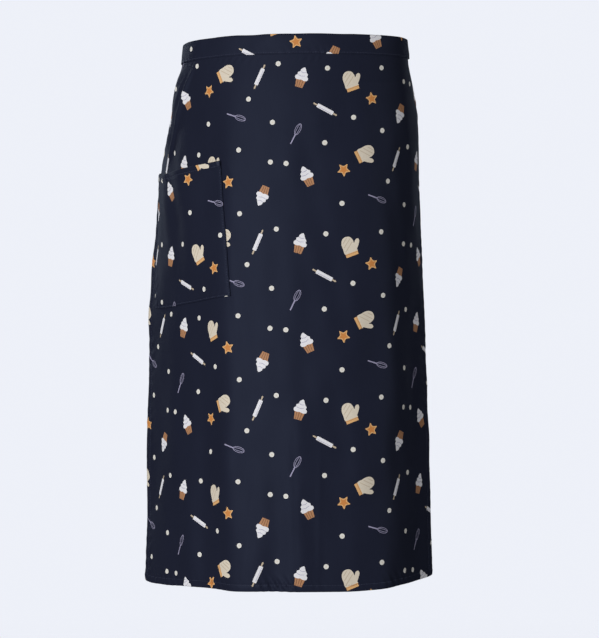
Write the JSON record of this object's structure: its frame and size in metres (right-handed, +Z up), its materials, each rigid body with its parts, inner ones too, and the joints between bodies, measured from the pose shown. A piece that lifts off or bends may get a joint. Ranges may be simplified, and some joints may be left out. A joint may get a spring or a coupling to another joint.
{
  "type": "chef's waist apron",
  "caption": "Long waist apron in dark printed cotton with a folded waistband, a side patch pocket and ties knotted behind, in its worn shape.",
  "frame": {"origin": "centre of the waist that the apron is tied round, level with the middle of the waistband at the front", "axes": "+Z up, the front of the apron faces -Y, +X is the wearer's left"},
  "size_m": [0.3785, 0.2189, 0.7038],
  "materials": {
    "printed_cotton": "dark navy woven cotton, matt, with a scattered print in cream, tan and white",
    "band_cotton": "dark navy woven cotton, matt"
  },
  "bodies": {
    "root": {"skirt": "printed_cotton", "waistband": "printed_cotton", "pocket": "printed_cotton", "tie_right": "band_cotton", "tie_left": "band_cotton", "tie_knot": "band_cotton", "tail_right": "band_cotton", "tail_left": "band_cotton"}
  },
  "joints": []
}
